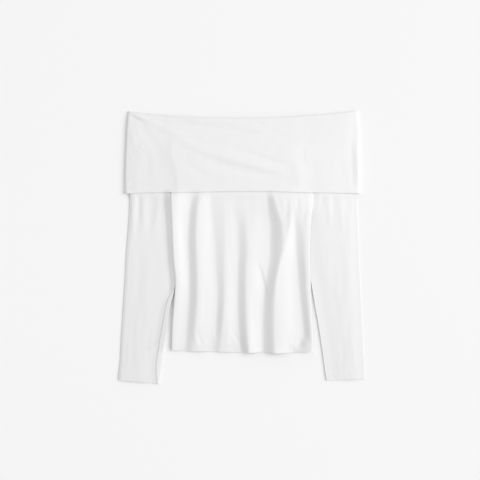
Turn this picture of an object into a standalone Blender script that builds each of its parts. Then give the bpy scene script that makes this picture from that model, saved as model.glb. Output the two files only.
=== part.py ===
"""Off-shoulder top in white jersey, laid flat on its back with the front up.

Metres, +Z up from the surface that it lies on, +Y towards the neck, +X to the right of the picture.
The origin is under the middle of the whole outline, on that surface.
The band is one doubled tube, turned down round the outside of the body and of both sleeves.
"""

import math
from collections import namedtuple

import bpy

# Cloth and the clearances between its layers
CLOTH = 0.0012
BAND_CLOTH = 0.0016
SEAM_GAP = 0.0003
AIR = 0.0012
LAYERS = 2 * CLOTH + AIR
BAND_STEP = BAND_CLOTH + SEAM_GAP
BAND_HEIGHT = BAND_STEP + LAYERS + BAND_STEP

# Heights up the garment, measured along +Y
NECK_Y = 0.2786
NECK_CORNER_RISE = 0.0156
BAND_EDGE_Y = 0.1203
BAND_EDGE_DROP = 0.0040
UNDERARM_Y = 0.1260
HEM_Y = -0.2235
BAND_HALF_WIDTH = 0.2500
TURN_DEPTH = 0.0120
NECK_CURVE_Y = 0.200
HEM_DIP = 0.0018
HEM_SLANT = 0.0010
HEM_REACH = 0.060
BODY_HALF_WIDTH = 0.150

# Where the back wall of the band starts to lift the layers that lie on it
BAND_RAMP_Y = 0.098
BAND_RAMP = 0.016

# The soft step from the sleeves up to the body, seen through the band
BODY_STEP = 0.0026
SLEEVE_STEP = 0.0008
STEP_START_Y = 0.040
STEP_FULL_Y = 0.115
NECK_FLATTEN_Y = 0.200
NECK_FLATTEN = 0.45
STEP_LEFT = -0.151
STEP_RIGHT = 0.147
STEP_WIDE = 0.044

# Folds and gathers start at the lower of these heights and have died out at the upper, at the band
FOLDS_FULL_Y = 0.092
FOLDS_END_Y = 0.116

# How far in from a folded side edge the cloth starts to turn over
SIDE_TURN = 0.0030
SLEEVE_TURN = 0.0025
BAND_TURN = 0.0030
INNER_TURN_SHARE = 0.75
LEAST_TURN = 0.0005
BACK_FOLD_SHARE = 0.60

# The band's sides: x of the left and right edge at each height
BandSide = namedtuple("BandSide", "y left right")
BAND_SIDES = (
    BandSide(0.116, -0.2507, 0.2536),
    BandSide(0.200, -0.2480, 0.2522),
    BandSide(0.260, -0.2450, 0.2505),
    BandSide(0.293, -0.2432, 0.2492),
)

# The body's side seams below the arms, then the armhole seams above them
BodySide = namedtuple("BodySide", "y left right")
BODY_SIDES = (
    BodySide(-0.2235, -0.1504, 0.1513),
    BodySide(-0.1995, -0.1500, 0.1530),
    BodySide(-0.1620, -0.1486, 0.1515),
    BodySide(-0.1080, -0.1443, 0.1493),
    BodySide(-0.0705, -0.1421, 0.1478),
    BodySide(-0.0275, -0.1464, 0.1458),
    BodySide(0.0530, -0.1499, 0.1484),
    BodySide(0.1260, -0.1514, 0.1535),
)
ARMHOLES = (
    BodySide(0.1260, -0.1484, 0.1505),
    BodySide(0.1300, -0.1440, 0.1430),
    BodySide(0.1380, -0.1390, 0.1320),
    BodySide(0.1500, -0.1370, 0.1285),
    BodySide(0.2000, -0.1380, 0.1335),
    BodySide(0.2900, -0.1400, 0.1380),
)

# The body's folds, left to right, at six heights from the band's edge down to the hem.
# flank: x of the middle of the steep side, which faces left. rise: height of the crest after it.
FOLD_HEIGHTS = (0.1187, 0.0525, -0.0210, -0.1050, -0.1730, -0.2230)
Fold = namedtuple("Fold", "flank rise wide_top wide_hem")
FOLDS = (
    Fold(
        (-0.1620, -0.1605, -0.1570, -0.1550, -0.1590, -0.1610),
        (0.0012, 0.0045, 0.0060, 0.0065, 0.0062, 0.0055),
        0.018,
        0.018,
    ),
    Fold(
        (-0.0989, -0.1075, -0.1045, -0.1028, -0.1092, -0.1176),
        (0.0022, 0.0075, 0.0088, 0.0088, 0.0078, 0.0055),
        0.018,
        0.020,
    ),
    Fold(
        (-0.0486, -0.0464, -0.0464, -0.0445, -0.0456, -0.0559),
        (0.0003, 0.0015, 0.0030, 0.0052, 0.0062, 0.0048),
        0.020,
        0.014,
    ),
    Fold(
        (-0.0013, -0.0013, 0.0006, 0.0015, 0.0030, 0.0062),
        (0.0005, 0.0025, 0.0062, 0.0088, 0.0098, 0.0098),
        0.024,
        0.022,
    ),
    Fold(
        (0.0639, 0.0750, 0.0714, 0.0589, 0.0563, 0.0568),
        (0.0025, 0.0095, 0.0110, 0.0110, 0.0122, 0.0128),
        0.016,
        0.028,
    ),
    Fold(
        (0.1256, 0.1256, 0.1256, 0.1330, 0.1390, 0.1440),
        (0.0003, 0.0035, 0.0062, 0.0080, 0.0085, 0.0070),
        0.018,
        0.018,
    ),
)
LAST_FALL = 0.030

# The two small gathers that each sleeve has just under the band: distance in from its outer edge
Gather = namedtuple("Gather", "inset wide rise length")
GATHERS = (
    Gather(0.014, 0.012, 0.0012, 0.110),
    Gather(0.037, 0.011, 0.0011, 0.060),
    Gather(0.062, 0.012, 0.0009, 0.050),
)

# The sleeves, from the cuff up: outer folded edge, then inner edge.
# The left one's under layer shows along its inner edge, and ends in a lip above the cuff.
Station = namedtuple("Station", "out_x out_y in_x in_y")
LEFT_SLEEVE = (
    Station(-0.2645, -0.2855, -0.1800, -0.2933),
    Station(-0.2634, -0.2670, -0.1802, -0.2730),
    Station(-0.2607, -0.2410, -0.1815, -0.2440),
    Station(-0.2600, -0.2260, -0.1745, -0.2285),
    Station(-0.2593, -0.2120, -0.1668, -0.2130),
    Station(-0.2576, -0.1840, -0.1632, -0.1840),
    Station(-0.2558, -0.1560, -0.1588, -0.1565),
    Station(-0.2538, -0.1240, -0.1525, -0.1240),
    Station(-0.2518, -0.0920, -0.1440, -0.0920),
    Station(-0.2503, -0.0705, -0.1428, -0.0705),
    Station(-0.2484, -0.0280, -0.1471, -0.0280),
    Station(-0.2465, 0.0000, -0.1486, 0.0000),
    Station(-0.2425, 0.0530, -0.1506, 0.0530),
    Station(-0.2402, 0.1000, -0.1516, 0.1000),
    Station(-0.2400, 0.1140, -0.1518, 0.1140),
    Station(-0.2399, 0.1260, -0.1520, 0.1260),
)
RIGHT_SLEEVE = (
    Station(0.2645, -0.2825, 0.1825, -0.2862),
    Station(0.2638, -0.2650, 0.1795, -0.2680),
    Station(0.2616, -0.2170, 0.1725, -0.2170),
    Station(0.2591, -0.1580, 0.1640, -0.1620),
    Station(0.2560, -0.0960, 0.1540, -0.1050),
    Station(0.2541, -0.0500, 0.1480, -0.0600),
    Station(0.2530, -0.0200, 0.1464, -0.0200),
    Station(0.2500, 0.0530, 0.1490, 0.0530),
    Station(0.2487, 0.1000, 0.1518, 0.1000),
    Station(0.2485, 0.1140, 0.1530, 0.1140),
    Station(0.2484, 0.1260, 0.1540, 0.1260),
)
LEFT_SLEEVE_NECK_X = -0.2365
RIGHT_SLEEVE_NECK_X = 0.2432
SLEEVE_CROWN = 0.0008
CROWN_FULL_Y = 0.060
CROWN_END_Y = 0.115

# Mesh divisions
BODY_COLUMNS = 48
TURN_STEPS = 3
TURN_LEAD = 1.5
EDGE_TURN_STEPS = 4
SLEEVE_TOP_COLUMNS = 10
SLEEVE_BACK_COLUMNS = 4
BAND_FRONT_COLUMNS = 44
BAND_BACK_COLUMNS = 10
FOLD_TURN_STEPS = 3
BODY_ROWS = (
    HEM_Y, -0.205, -0.180, -0.153, -0.126, -0.099, -0.072, -0.045, -0.018, 0.010, 0.038,
    0.066, 0.088, 0.103, 0.114, UNDERARM_Y, 0.133, 0.146, 0.200, 0.266,
)
ARMHOLE_ROWS = (0.133, 0.146, 0.200, 0.266)
BAND_ROWS = (0.0, 0.06, 0.25, 0.50, 0.75, 1.0)


def eased(t):
    """0 to 1 with a soft start and end."""
    t = min(1.0, max(0.0, t))
    return t * t * (3 - 2 * t)


def curve(keys, values, at):
    """The value of a smooth curve through (key, value) pairs, with keys rising."""
    if at <= keys[0]:
        return values[0]
    if at >= keys[-1]:
        return values[-1]
    i = next(k for k in range(len(keys) - 1) if at <= keys[k + 1])

    def slope(k):
        low = max(k - 1, 0)
        high = min(k + 1, len(keys) - 1)
        return (values[high] - values[low]) / (keys[high] - keys[low])

    span = keys[i + 1] - keys[i]
    t = (at - keys[i]) / span
    a = slope(i) * span
    b = slope(i + 1) * span
    rise = values[i + 1] - values[i]
    return values[i] + t * (a + t * (3 * rise - 2 * a - b + t * (a + b - 2 * rise)))


def side(table, column, y):
    return curve([row.y for row in table], [getattr(row, column) for row in table], y)


def down(values, y):
    """A fold's value at a height, where FOLD_HEIGHTS runs down the garment."""
    return curve([-h for h in FOLD_HEIGHTS], values, -y)


def neck_y(x):
    return NECK_Y + NECK_CORNER_RISE * (x / BAND_HALF_WIDTH) ** 2


def band_edge_y(x):
    return BAND_EDGE_Y - BAND_EDGE_DROP * (x / BAND_HALF_WIDTH) ** 2


def on_band(y):
    """How high the band's back wall lifts the layers that lie on it."""
    return BAND_STEP * eased((y - BAND_RAMP_Y) / BAND_RAMP)


def plateau(x, y):
    """The rise of the band and of the layers under it, over the body and less over the sleeves."""
    body = eased((x - STEP_LEFT) / STEP_WIDE) * eased((STEP_RIGHT - x) / STEP_WIDE)
    ends = eased((BAND_HALF_WIDTH - SIDE_TURN - abs(x)) / STEP_WIDE)
    up_body = eased((y - STEP_START_Y) / (STEP_FULL_Y - STEP_START_Y))
    up_neck = 1 - NECK_FLATTEN * eased((y - NECK_FLATTEN_Y) / (NECK_Y - NECK_FLATTEN_Y))
    return (SLEEVE_STEP * ends + BODY_STEP * body) * up_body * up_neck


def below_band(y):
    """1 down the garment, and 0 from the band's edge up."""
    return 1 - eased((y - FOLDS_FULL_Y) / (FOLDS_END_Y - FOLDS_FULL_Y))


def body_folds(x, y):
    """Height of the body's folds over the flat cloth at a point."""
    feet = []
    for fold in FOLDS:
        share = (FOLD_HEIGHTS[0] - y) / (FOLD_HEIGHTS[0] - FOLD_HEIGHTS[-1])
        wide = fold.wide_top + (fold.wide_hem - fold.wide_top) * min(1.0, max(0.0, share))
        middle = down(fold.flank, y)
        feet.append((middle - wide / 2, middle + wide / 2, down(fold.rise, y)))
    for i, (foot, crest, rise) in enumerate(feet):
        if foot < x <= crest:
            return rise * below_band(y) * (1 - math.cos(math.pi * (x - foot) / (crest - foot))) / 2
        next_foot = feet[i + 1][0] if i + 1 < len(feet) else crest + LAST_FALL
        if crest < x < next_foot:
            return rise * below_band(y) * (1 + math.cos(math.pi * (x - crest) / (next_foot - crest))) / 2
    return 0.0


def front_z(x, y):
    return on_band(y) + LAYERS + plateau(x, y) + body_folds(x, y)


def back_z(x, y):
    return on_band(y) + BACK_FOLD_SHARE * body_folds(x, y)


def loft(name, rows, closed, thickness, keep=lambda row, column: True):
    """One piece of cloth: a surface through rows of points, outside outwards, with its wall inside it."""
    wide = len(rows[0])
    points = [p for row in rows for p in row]
    faces = []
    for r in range(len(rows) - 1):
        for c in range(wide if closed else wide - 1):
            if keep(r, c):
                d = (c + 1) % wide
                faces.append((r * wide + c, r * wide + d, (r + 1) * wide + d, (r + 1) * wide + c))
    mesh = bpy.data.meshes.new(name)
    mesh.from_pydata(points, [], faces)
    piece = bpy.data.objects.new(name, mesh)
    GARMENT.objects.link(piece)
    select_only(piece)
    bpy.ops.object.mode_set(mode="EDIT")
    bpy.ops.mesh.select_all(action="SELECT")
    bpy.ops.mesh.delete_loose()
    bpy.ops.object.mode_set(mode="OBJECT")
    wall = piece.modifiers.new("wall", "SOLIDIFY")
    wall.thickness = thickness
    wall.offset = -1
    wall.use_even_offset = True
    wall.use_quality_normals = True
    mesh.shade_smooth()
    mesh.materials.append(cloth_material())
    return piece


def select_only(piece):
    bpy.ops.object.select_all(action="DESELECT")
    piece.select_set(True)
    bpy.context.view_layer.objects.active = piece


def cloth_material():
    material = bpy.data.materials.get("white_jersey")
    if material is None:
        material = bpy.data.materials.new("white_jersey")
        material.use_nodes = True
        shader = material.node_tree.nodes["Principled BSDF"]
        shader.inputs["Base Color"].default_value = (0.88, 0.88, 0.88, 1)
        shader.inputs["Roughness"].default_value = 0.9
        shader.inputs["Metallic"].default_value = 0
    return material


def body_y(x, y):
    """A row's height at x: the hem dips towards the right, and the top follows the neck's curve."""
    across = x / BODY_HALF_WIDTH
    hem = -HEM_DIP * math.cos(across * math.pi / 2) - HEM_SLANT * across
    top = neck_y(x) - TURN_DEPTH - SEAM_GAP - BODY_ROWS[-1]
    near_neck = eased((y - NECK_CURVE_Y) / (BODY_ROWS[-1] - NECK_CURVE_Y))
    return y + hem * (1 - eased((y - HEM_Y) / HEM_REACH)) + top * near_neck


def body_panel(name, height, facing):
    """The front or the back: facing is 1 for the front, whose outside is up, and -1 for the back."""
    rows = []
    for y in BODY_ROWS:
        if y <= UNDERARM_Y:
            left = side(BODY_SIDES, "left", y) + SIDE_TURN
            right = side(BODY_SIDES, "right", y) - SIDE_TURN
        else:
            left = side(ARMHOLES, "left", y)
            right = side(ARMHOLES, "right", y)
        row = []
        for k in range(BODY_COLUMNS + 1):
            x = left + (right - left) * k / BODY_COLUMNS
            at = body_y(x, y)
            row.append((x, at, height(x, at)))
        for end, way in ((row[0], -1), (row[-1], 1)):
            x, at, z = end
            drop = (front_z(x, at) - back_z(x, at) - SEAM_GAP) / 2
            turned = []
            for k in range(1, TURN_STEPS + 1):
                angle = math.pi / 2 * k / TURN_STEPS
                turned.append(
                    (
                        x + way * SIDE_TURN * math.sin(min(TURN_LEAD * angle, math.pi / 2)),
                        at,
                        z - facing * drop * (1 - math.cos(angle)),
                    )
                )
            row = turned[::-1] + row if way < 0 else row + turned
        rows.append(row if facing > 0 else row[::-1])
    underarm = BODY_ROWS.index(UNDERARM_Y)
    edge = BODY_COLUMNS + TURN_STEPS

    def keep(row, column):
        return row < underarm or TURN_STEPS <= column < edge

    return loft(name, rows, False, CLOTH, keep)


def gather_lift(inset, y):
    """Height of a sleeve's gathers, which run out of the band's edge and fade down the sleeve."""
    lift = 0.0
    for gather in GATHERS:
        across = abs(inset - gather.inset) / gather.wide
        if across < 1:
            below = eased((y - (UNDERARM_Y - gather.length)) / gather.length)
            lift += gather.rise * below * (1 + math.cos(math.pi * across)) / 2
    return lift


def sleeve_z(x, y, share, inset):
    """The upper layer's outside, with a low crown across the sleeve that dies out in the band."""
    up_crown = 1 - eased((y - CROWN_FULL_Y) / (CROWN_END_Y - CROWN_FULL_Y))
    crown = SLEEVE_CROWN * math.sin(math.pi * share) * up_crown
    return on_band(y) + LAYERS + plateau(x, y) + crown + gather_lift(inset, y) * below_band(y)


def sleeve(name, stations, armhole_side, neck_x):
    """A flattened tube from cuff to neck, open along the armhole above the underarm."""
    outward = -1 if armhole_side == "left" else 1
    places = list(stations)
    for y in ARMHOLE_ROWS:
        seam = side(ARMHOLES, armhole_side, y) + outward * SEAM_GAP
        up = (y - UNDERARM_Y) / (ARMHOLE_ROWS[-1] - UNDERARM_Y)
        out = stations[-1].out_x + (neck_x - stations[-1].out_x) * up
        top = neck_y(out) - TURN_DEPTH - SEAM_GAP if y == ARMHOLE_ROWS[-1] else y
        in_top = neck_y(seam) - TURN_DEPTH - SEAM_GAP if y == ARMHOLE_ROWS[-1] else y
        places.append(Station(out, top, seam, in_top))
    rows = []
    for place in places:
        open_row = place.in_y > UNDERARM_Y
        across = abs(place.out_x - place.in_x)
        inner_turn = 0.0 if open_row else SLEEVE_TURN
        first = place.in_x + outward * inner_turn
        last = place.out_x - outward * SLEEVE_TURN

        def spot(share):
            x = first + (last - first) * share
            whole = abs(x - place.in_x) / across
            y = place.in_y + (place.out_y - place.in_y) * whole
            return x, min(y, neck_y(x) - TURN_DEPTH - SEAM_GAP), whole

        upper = []
        for k in range(SLEEVE_TOP_COLUMNS + 1):
            share = k / SLEEVE_TOP_COLUMNS
            x, y, whole = spot(share)
            upper.append((x, y, sleeve_z(x, y, share, across * (1 - whole))))
        lower = []
        for k in range(SLEEVE_BACK_COLUMNS + 1):
            x, y, whole = spot(1 - k / SLEEVE_BACK_COLUMNS)
            lower.append((x, y, on_band(y)))
        outer_turn = half_turn(upper[-1], lower[0], outward * SLEEVE_TURN)
        inner = half_turn(lower[-1], upper[0], -outward * SLEEVE_TURN)
        ring = upper + outer_turn + lower + inner
        rows.append(ring if outward > 0 else ring[::-1])
    ring_size = len(rows[0])
    inner_steps = EDGE_TURN_STEPS - 1
    underarm = places.index(stations[-1])
    if outward > 0:
        turned = range(ring_size - inner_steps - 1, ring_size)
    else:
        turned = [*range(0, inner_steps), ring_size - 1]

    def keep(row, column):
        return row < underarm or column not in turned

    return loft(name, rows, True, CLOTH, keep)


def half_turn(start, end, reach):
    """The points between two stacked points where cloth turns over a folded edge."""
    points = []
    for k in range(1, EDGE_TURN_STEPS):
        angle = math.pi * k / EDGE_TURN_STEPS
        share = (1 - math.cos(angle)) / 2
        points.append(
            (
                start[0] + (end[0] - start[0]) * share + reach * math.sin(angle),
                start[1] + (end[1] - start[1]) * share,
                start[2] + (end[2] - start[2]) * share,
            )
        )
    return points


def band_ring(share, inset, y_shift):
    """One ring of the band. share runs from its lower edge to the neck, and inset turns it inside."""
    mid_y = BAND_EDGE_Y + (NECK_Y - BAND_EDGE_Y) * share
    left = side(BAND_SIDES, "left", mid_y)
    right = side(BAND_SIDES, "right", mid_y)
    turn = max(BAND_TURN - INNER_TURN_SHARE * inset, LEAST_TURN)

    def spot(x):
        low = band_edge_y(x)
        high = neck_y(x) - BAND_CLOTH - SEAM_GAP / 2
        return low + (high - low) * share + y_shift

    first = left + inset + turn
    last = right - inset - turn
    front = []
    for k in range(BAND_FRONT_COLUMNS + 1):
        x = first + (last - first) * k / BAND_FRONT_COLUMNS
        y = spot(x)
        front.append((x, y, BAND_HEIGHT + plateau(x, y) - inset))
    back = []
    for k in range(BAND_BACK_COLUMNS + 1):
        x = last + (first - last) * k / BAND_BACK_COLUMNS
        back.append((x, spot(x), inset))
    right_turn = half_turn(front[-1], back[0], turn)
    left_turn = half_turn(back[-1], front[0], -turn)
    return front + right_turn + back + left_turn


def band():
    """The turned-down band: its outer leg, the fold along the neck, and a short inner leg to the seam."""
    rows = [band_ring(share, 0.0, 0.0) for share in BAND_ROWS]
    radius = BAND_CLOTH + SEAM_GAP / 2
    for k in range(1, FOLD_TURN_STEPS + 1):
        angle = math.pi * k / FOLD_TURN_STEPS
        rows.append(band_ring(1.0, radius * (1 - math.cos(angle)), radius * math.sin(angle)))
    rows.append(band_ring(1.0, 2 * radius, radius - TURN_DEPTH))
    return loft("band", rows, True, BAND_CLOTH)


for old in list(bpy.data.objects):
    bpy.data.objects.remove(old)
GARMENT = bpy.data.collections.new("off_shoulder_top")
bpy.context.scene.collection.children.link(GARMENT)

body_panel("front", front_z, 1)
body_panel("back", back_z, -1)
sleeve("sleeve_left", LEFT_SLEEVE, "left", LEFT_SLEEVE_NECK_X)
sleeve("sleeve_right", RIGHT_SLEEVE, "right", RIGHT_SLEEVE_NECK_X)
band()
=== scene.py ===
import math
from collections import namedtuple

import bpy
import numpy as np
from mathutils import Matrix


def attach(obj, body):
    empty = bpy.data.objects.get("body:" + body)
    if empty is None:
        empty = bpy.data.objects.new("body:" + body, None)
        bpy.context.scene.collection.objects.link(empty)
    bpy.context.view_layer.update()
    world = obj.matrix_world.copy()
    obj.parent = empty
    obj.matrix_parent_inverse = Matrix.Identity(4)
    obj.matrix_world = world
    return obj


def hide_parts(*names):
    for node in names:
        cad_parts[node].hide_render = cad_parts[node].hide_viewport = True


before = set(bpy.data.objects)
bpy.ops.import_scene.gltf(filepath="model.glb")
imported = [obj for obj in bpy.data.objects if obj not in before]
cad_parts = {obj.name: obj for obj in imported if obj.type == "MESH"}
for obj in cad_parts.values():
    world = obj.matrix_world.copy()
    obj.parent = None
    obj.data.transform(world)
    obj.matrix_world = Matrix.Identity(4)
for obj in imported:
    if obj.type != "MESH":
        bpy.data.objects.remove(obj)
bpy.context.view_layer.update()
bpy.ops.object.select_all(action="DESELECT")

# Floor, light and camera
# The top lies flat on a plain pale sheet and is seen from straight above. A broad soft key stands
# on the right, about 40 degrees up, and the rest of the light comes evenly from all round.
MM = 0.001
FRAME_WIDTH = 1032 * MM
LOOK_AT = (-3.4 * MM, 15.5 * MM)
LENS = 85
SENSOR = 36

bpy.ops.object.camera_add(
    location=(*LOOK_AT, FRAME_WIDTH * LENS / SENSOR),
    rotation=(0, 0, 0),
)
camera = bpy.context.object
camera.name = "camera"
camera.data.lens = LENS
camera.data.sensor_width = SENSOR
camera.data.clip_end = 50
bpy.context.scene.camera = camera
bpy.context.scene.view_settings.view_transform = "Standard"

FLOOR_SIZE = 12
FLOOR_DROP = 0.3 * MM
bpy.ops.mesh.primitive_plane_add(size=FLOOR_SIZE, location=(0, 0, -FLOOR_DROP))
floor = bpy.context.object
floor.name = "floor"

AMBIENT = 0.676
KEY_FROM_RIGHT = 3.735
KEY_FROM_TOP = 0.534
KEY_HEIGHT = 3.278
KEY_SIZE = 4.0
KEY_POWER = 151

world = bpy.data.worlds.new("studio")
world.use_nodes = True
world.node_tree.nodes["Background"].inputs["Color"].default_value = (1, 1, 1, 1)
world.node_tree.nodes["Background"].inputs["Strength"].default_value = AMBIENT
bpy.context.scene.world = world

bpy.ops.object.light_add(type="AREA", location=(KEY_FROM_RIGHT, KEY_FROM_TOP, KEY_HEIGHT))
key = bpy.context.object
key.name = "key"
key.data.shape = "DISK"
key.data.size = KEY_SIZE
key.data.energy = KEY_POWER
key.rotation_euler = (-key.location).to_track_quat("-Z", "Y").to_euler()
key.visible_camera = False


class Value:
    """A shader socket that takes part in sums: each operator adds its Math node."""

    def __init__(self, nodes, socket):
        self.nodes = nodes
        self.socket = socket

    def math(self, operation, *others):
        return self.nodes.add("ShaderNodeMath", {"operation": operation}, self, *others)

    def __add__(self, other):
        return self.math("ADD", other)

    def __mul__(self, other):
        return self.math("MULTIPLY", other)

    def __sub__(self, other):
        return self.math("SUBTRACT", other)

    def __rsub__(self, other):
        return self.nodes.add("ShaderNodeMath", {"operation": "SUBTRACT"}, other, self)

    __radd__ = __add__


class Finish:
    """A material under construction: a Principled shader, and a method that adds any other node."""

    def __init__(self, name, **constants):
        self.material = bpy.data.materials.new(name)
        self.material.use_nodes = True
        self.tree = self.material.node_tree
        self.shader = self.tree.nodes["Principled BSDF"]
        for socket, value in constants.items():
            self.shader.inputs[socket.replace("_", " ")].default_value = value

    def add(self, kind, settings, *values, out=0, spots=(), **named):
        """Any node. Inputs come in order, by name, or by number where two share a name."""
        node = self.tree.nodes.new(kind)
        for setting, chosen in settings.items():
            setattr(node, setting, chosen)
        inputs = [*enumerate(values), *dict(spots).items()]
        inputs += [(socket.replace("_", " "), value) for socket, value in named.items()]
        for socket, value in inputs:
            if isinstance(value, Value):
                self.tree.links.new(value.socket, node.inputs[socket])
            else:
                node.inputs[socket].default_value = value
        return Value(self, node.outputs[out])

    def mix(self, factor, first, second):
        """A colour between two others, where the factor is 0 to 1."""
        blend = {"data_type": "RGBA"}
        return self.add("ShaderNodeMix", blend, factor, out=2, spots={6: first, 7: second})

    def feed(self, socket, value):
        self.tree.links.new(value.socket, self.shader.inputs[socket])


# The sheet is painted darker towards the right and a little towards the top, where the key light falls
# more strongly. This painted shade makes it look evenly bright. Faint clouds vary its tone at random.
PAPER_LEFT = (0.962, 0.962, 0.962, 1)
PAPER_RIGHT_SHADED = (0.847, 0.847, 0.847, 1)
PAPER_SHADE_SPAN = (-0.58, 0.62)
PAPER_SHADE_SLANT = 0.12
PAPER_CLOUDS = 0.04

paper = Finish("pale_paper", Roughness=0.95, Specular_IOR_Level=0.1)
place = paper.add("ShaderNodeTexCoord", {}, out=3)
cloudy = paper.add("ShaderNodeTexNoise", {}, Vector=place, Scale=3.0, Detail=2.0)
sideways = paper.add("ShaderNodeSeparateXYZ", {}, place)
up_sheet = paper.add("ShaderNodeSeparateXYZ", {}, place, out=1)
# Painted shade: the sheet's colour darkens towards the right and the top, against the key's stronger
# light there.
slant = sideways + up_sheet * PAPER_SHADE_SLANT + cloudy * PAPER_CLOUDS
painted_shade_share = paper.add("ShaderNodeMapRange", {}, slant, *PAPER_SHADE_SPAN)
paper.feed("Base Color", paper.mix(painted_shade_share, PAPER_LEFT, PAPER_RIGHT_SHADED))
floor.data.materials.append(paper.material)

# Front
# The front panel is white rib jersey, cut wider than it lies, so that it falls in six long folds
# from the band to the hem. Its hem is turned up 20 mm and coverstitched. The side seams roll under.
BODY_WALL = 0.9 * MM
SEAM_GAP = 0.3 * MM
LAYERS = 3.6 * MM
BAND_STEP = 1.9 * MM
NECK_Y = 277.0 * MM
NECK_CORNER_RISE = 15.6 * MM
BAND_HALF_WIDTH = 250 * MM
BODY_TOP_Y = 264.4 * MM
HEM_LEVEL = -223.5 * MM
TURN_DEPTH = 12 * MM
SIDE_TURN = 3 * MM
BODY_ACROSS = 148
BODY_ALONG = 222
TURN_COLUMNS = 5
EDGE_ROLL = 1.3
CLOTH_EDGE = 0.3 * MM

BodySide = namedtuple("BodySide", "y left right")
BODY_SIDES = (
    BodySide(-223.5, -150.4, 151.3),
    BodySide(-199.5, -150.0, 153.0),
    BodySide(-162.0, -148.6, 151.5),
    BodySide(-108.0, -144.3, 149.3),
    BodySide(-70.5, -142.1, 147.8),
    BodySide(-27.5, -146.4, 145.8),
    BodySide(53.0, -149.9, 148.4),
    BodySide(126.0, -151.4, 153.5),
    BodySide(130.0, -144.0, 143.0),
    BodySide(138.0, -139.0, 132.0),
    BodySide(150.0, -137.0, 128.5),
    BodySide(200.0, -138.0, 133.5),
    BodySide(290.0, -140.0, 138.0),
)
HemPoint = namedtuple("HemPoint", "x y")
HEM = (
    HemPoint(-150.4, -221.6),
    HemPoint(-110.0, -222.6),
    HemPoint(-41.0, -224.6),
    HemPoint(12.7, -226.0),
    HemPoint(52.5, -225.2),
    HemPoint(82.6, -227.2),
    HemPoint(120.2, -225.4),
    HemPoint(151.3, -223.4),
)
# Each fold is a steep flank that faces left, at the middle x given for each height. It rises from the
# low of the valley before it, stays level past its crest for the flat distance, and then falls
# gently to the foot of the next flank.
FoldRow = namedtuple("FoldRow", "y flank wide rise low flat", defaults=(0, 0))
FOLDS = (
    (
        FoldRow(119, -159, 16, 13.0),
        FoldRow(95, -158.5, 15, 12.0),
        FoldRow(52, -156, 14, 11.0),
        FoldRow(-21, -152.0, 13, 10.5),
        FoldRow(-58, -148.5, 14, 9.5),
        FoldRow(-75, -147.0, 15, 9.0),
        FoldRow(-100, -149.0, 14, 7.0),
        FoldRow(-173, -158, 14, 5.2),
        FoldRow(-223, -160, 14, 4.4),
    ),
    (
        FoldRow(119, -95.5, 15, 4.4),
        FoldRow(78, -102.8, 16, 7.2),
        FoldRow(18, -105.6, 17, 8.8),
        FoldRow(-42, -103.8, 18, 8.8),
        FoldRow(-102, -103.4, 18, 8.8),
        FoldRow(-161, -107.1, 18, 8.0),
        FoldRow(-203, -111.2, 18, 6.0),
        FoldRow(-223, -114.5, 19, 4.8),
    ),
    (
        FoldRow(119, -52.0, 24, 0.4),
        FoldRow(78, -50.0, 24, 1.8),
        FoldRow(47, -47.9, 23, 2.8),
        FoldRow(18, -46.4, 21, 3.4),
        FoldRow(-42, -45.6, 18, 4.2),
        FoldRow(-102, -44.2, 15, 5.2),
        FoldRow(-161, -47.0, 14, 5.8),
        FoldRow(-203, -50.6, 14, 4.0),
        FoldRow(-223, -53.0, 14, 3.3),
    ),
    (
        FoldRow(119, -3.0, 20, 0.0),
        FoldRow(78, -1.0, 20, 0.9),
        FoldRow(47, 1.5, 19, 3.8),
        FoldRow(18, 2.5, 19, 5.2),
        FoldRow(-12, 3.2, 19, 6.2),
        FoldRow(-42, 1.5, 18, 6.8),
        FoldRow(-102, 0.8, 18, 8.2),
        FoldRow(-161, 2.1, 18, 9.2),
        FoldRow(-203, 5.4, 16, 10.8),
        FoldRow(-223, 7.6, 15, 11.4),
    ),
    (
        FoldRow(119, 60.5, 13, 5.6, 0, 34),
        FoldRow(78, 67.5, 20, 10.2, 0, 28),
        FoldRow(47, 74.5, 25, 12.6, 0, 14),
        FoldRow(18, 75.0, 27, 12.6, 0, 4),
        FoldRow(-12, 73.5, 24, 10.8, 0, 2),
        FoldRow(-42, 69.0, 21, 9.4, 0, 0),
        FoldRow(-72, 63.8, 20, 9.8, 0, 0),
        FoldRow(-102, 59.9, 21, 11.0, 0, 0),
        FoldRow(-161, 57.6, 23, 12.0, 0, 0),
        FoldRow(-223, 58.5, 24, 12.6, 0, 0),
    ),
    (
        FoldRow(119, 116.0, 14, 0.2, 5.2, 18),
        FoldRow(78, 119.0, 13, 0.6, 9.6, 14),
        FoldRow(62, 121.0, 13, 1.4, 10.2, 9),
        FoldRow(47, 122.7, 14, 2.6, 9.2, 4),
        FoldRow(18, 125.0, 16, 4.4, 5.2, 0),
        FoldRow(-12, 126.0, 16, 5.6, 2.0),
        FoldRow(-42, 128.0, 16, 6.8, 0.4),
        FoldRow(-102, 133.2, 16, 7.6, 0),
        FoldRow(-161, 139.0, 15, 8.0, 0),
        FoldRow(-188, 141.0, 15, 8.2, 0),
        FoldRow(-207, 137.0, 24, 8.0, 0),
        FoldRow(-223, 131.0, 38, 7.4, 0),
    ),
)
LAST_FALL = 42 * MM
SHORTEST_FALL = 5 * MM
FLANK_STRAIGHT = 0.55
FLANK_ROUND = 0.45
BACK_FOLD_SHARE = 0.6

# Where one shape passes into the next: the height it starts from and the distance it takes, both
# in millimetres. TUCK_EDGE is measured across instead, from the body's right side.
BAND_BACK = (98, 16)
DETAIL_END = (102, 18)
FOLDS_END = (98, 32)
PLATEAU_START = (40, 75)
NECK_START = (190, 58)
ARMHOLE_RUN = (135, 75)
TUCK_START = (-90, 40)
TUCK_END = (66, 34)
TUCK_EDGE = (-18, 16)
HEM_RUN = (-225, 20)
NECK_SHAPING = (200, 66)
SIDES_OPEN = (121, 5)

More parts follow.
